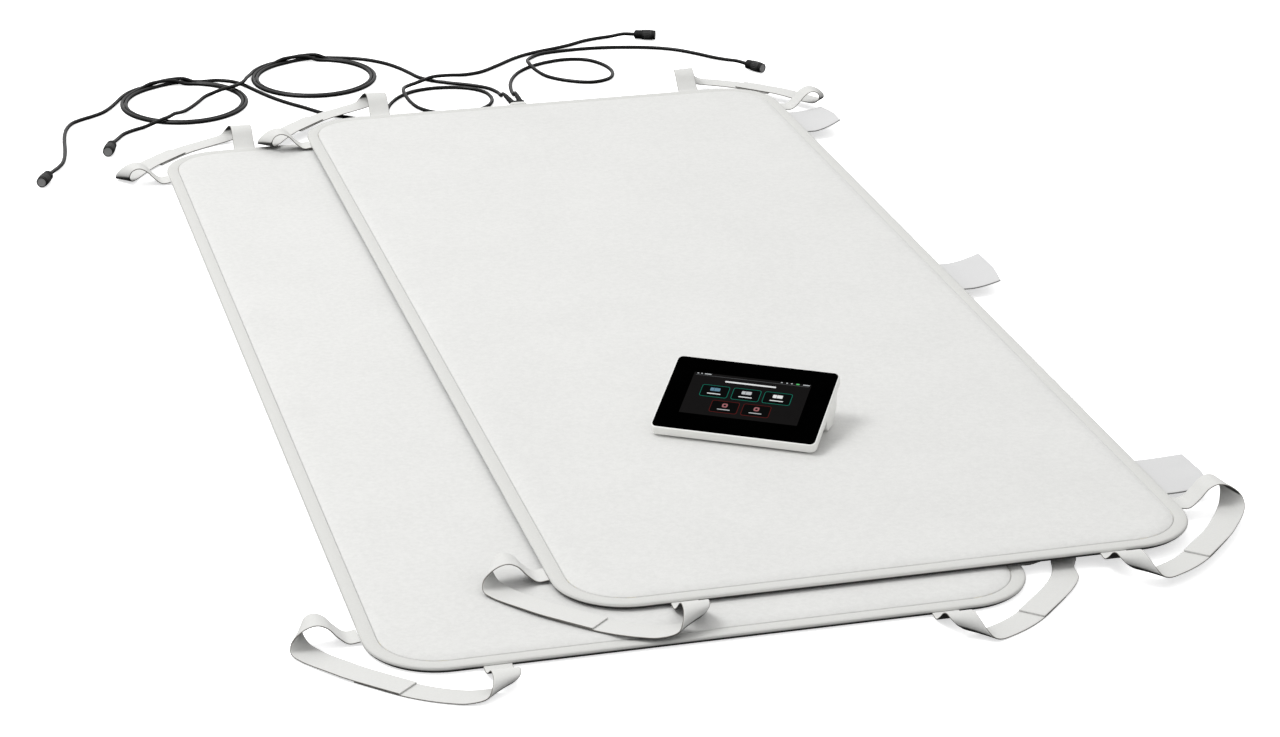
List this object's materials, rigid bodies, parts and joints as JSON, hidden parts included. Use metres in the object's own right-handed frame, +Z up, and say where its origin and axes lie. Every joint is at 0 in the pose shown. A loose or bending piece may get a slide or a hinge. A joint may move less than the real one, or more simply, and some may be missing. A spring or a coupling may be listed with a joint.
{
  "type": "infrared sauna blanket",
  "caption": "Two flat heated mats with corner straps and side tabs, plug-in leads, and a table-top touch controller.",
  "frame": {"origin": "centre of the lower mat's underside, on the surface it lies on", "axes": "+Z up, +Y along the mats towards the edge where the leads leave, +X towards the edge with the side tabs"},
  "size_m": [1.2642, 2.3409, 0.0833],
  "materials": {
    "cover_fabric": "matt off-white coated fabric with a fine woven grain",
    "binding_fabric": "matt off-white bound edge, stitched",
    "backing_fabric": "matt woven backing",
    "foam": "soft open foam",
    "carbon_heater": "carbon-fibre heating strip",
    "strap_webbing": "flat elastic webbing",
    "tab_webbing": "smooth ribbed fastening tape",
    "black_rubber": "satin moulded rubber",
    "lead_jacket": "satin flexible jacket",
    "plug_metal": "dark knurled metal",
    "black_glass": "gloss black screen glass",
    "white_plastic": "satin moulded plastic",
    "display_panel": "display module",
    "circuit_board": "printed circuit board",
    "black_plastic": "moulded socket panel",
    "grey_plastic": "satin button cap"
  },
  "bodies": {
    "lower_mat": {"lower_bottom_cover": "backing_fabric", "lower_foam_core": "foam", "lower_heating_element": "carbon_heater", "lower_top_cover": "cover_fabric", "lower_edge_binding": "binding_fabric", "lower_cable_gland": "binding_fabric", "lower_strain_relief": "black_rubber", "lower_near_left_side_band": "strap_webbing", "lower_near_left_end_band": "strap_webbing", "lower_near_right_side_band": "strap_webbing", "lower_near_right_end_band": "strap_webbing", "lower_far_left_side_band": "strap_webbing", "lower_far_left_end_band": "strap_webbing", "lower_far_right_side_band": "strap_webbing", "lower_far_right_end_band": "strap_webbing", "lower_near_tab": "tab_webbing", "lower_middle_tab": "tab_webbing", "lower_far_tab": "tab_webbing", "lead_a_run": "lead_jacket", "lead_a_coil": "lead_jacket", "lead_a_tail": "lead_jacket", "lead_b_run": "lead_jacket", "lead_b_coil": "lead_jacket", "lead_b_tail": "lead_jacket", "lead_c": "lead_jacket", "lead_d": "lead_jacket", "lead_a_plug": "black_rubber", "lead_b_plug": "black_rubber", "lead_c_plug": "black_rubber", "lead_d_plug": "black_rubber"},
    "upper_mat": {"upper_bottom_cover": "backing_fabric", "upper_foam_core": "foam", "upper_heating_element": "carbon_heater", "upper_top_cover": "cover_fabric", "upper_edge_binding": "binding_fabric", "upper_cable_gland": "binding_fabric", "upper_strain_relief": "black_rubber", "upper_near_left_side_band": "strap_webbing", "upper_near_left_end_band": "strap_webbing", "upper_near_right_side_band": "strap_webbing", "upper_near_right_end_band": "strap_webbing", "upper_far_left_side_band": "strap_webbing", "upper_far_left_end_band": "strap_webbing", "upper_far_right_side_band": "strap_webbing", "upper_far_right_end_band": "strap_webbing"},
    "near_tab": {"upper_near_tab": "tab_webbing"},
    "middle_tab": {"upper_middle_tab": "tab_webbing"},
    "far_tab": {"upper_far_tab": "tab_webbing"},
    "lead_a_ring": {"lead_a_coupling_ring": "plug_metal"},
    "lead_b_ring": {"lead_b_coupling_ring": "plug_metal"},
    "lead_c_ring": {"lead_c_coupling_ring": "plug_metal"},
    "lead_d_ring": {"lead_d_coupling_ring": "plug_metal"},
    "controller": {"controller_front_glass": "black_glass", "controller_front_housing": "white_plastic", "controller_display_module": "display_panel", "controller_rear_housing": "white_plastic", "controller_main_board": "circuit_board", "controller_socket_panel": "black_plastic", "controller_foot_strip": "black_rubber"},
    "power_button": {"controller_power_button": "grey_plastic"}
  },
  "joints": [
    {"name": "upper_mat_lift", "type": "slide", "parent": "lower_mat", "child": "upper_mat", "axis": [0, 0, 1], "range_m": [0, 0.25]},
    {"name": "controller_lift", "type": "slide", "parent": "upper_mat", "child": "controller", "axis": [0, 0, 1], "range_m": [0, 0.15]},
    {"name": "power_button_press", "type": "slide", "parent": "controller", "child": "power_button", "axis": [-0.5284, -0.849, 0], "range_m": [0, 0.0012], "stiffness_N_per_m": 400},
    {"name": "near_tab_fold", "type": "hinge", "parent": "upper_mat", "child": "near_tab", "pos_m": [0.6098, -0.639, 0.0166], "axis": [0, -1, 0], "range_deg": [0, 110]},
    {"name": "middle_tab_fold", "type": "hinge", "parent": "upper_mat", "child": "middle_tab", "pos_m": [0.6098, 0.069, 0.0166], "axis": [0, -1, 0], "range_deg": [0, 110]},
    {"name": "far_tab_fold", "type": "hinge", "parent": "upper_mat", "child": "far_tab", "pos_m": [0.6098, 0.787, 0.0166], "axis": [0, -1, 0], "range_deg": [0, 110]},
    {"name": "lead_a_ring_turn", "type": "hinge", "parent": "lower_mat", "child": "lead_a_ring", "pos_m": [-0.45304, 0.94575, 0.0089], "axis": [-0.2813, -0.9596, 0], "continuous": true},
    {"name": "lead_b_ring_turn", "type": "hinge", "parent": "lower_mat", "child": "lead_b_ring", "pos_m": [-0.56469, 0.82462, 0.0089], "axis": [-0.3853, -0.9228, 0], "continuous": true},
    {"name": "lead_c_ring_turn", "type": "hinge", "parent": "lower_mat", "child": "lead_c_ring", "pos_m": [0.63936, 1.10795, 0.0089], "axis": [0.5066, -0.8622, 0], "continuous": true},
    {"name": "lead_d_ring_turn", "type": "hinge", "parent": "lower_mat", "child": "lead_d_ring", "pos_m": [0.51106, 1.3341, 0.0089], "axis": [0.9262, -0.377, 0], "continuous": true}
  ]
}
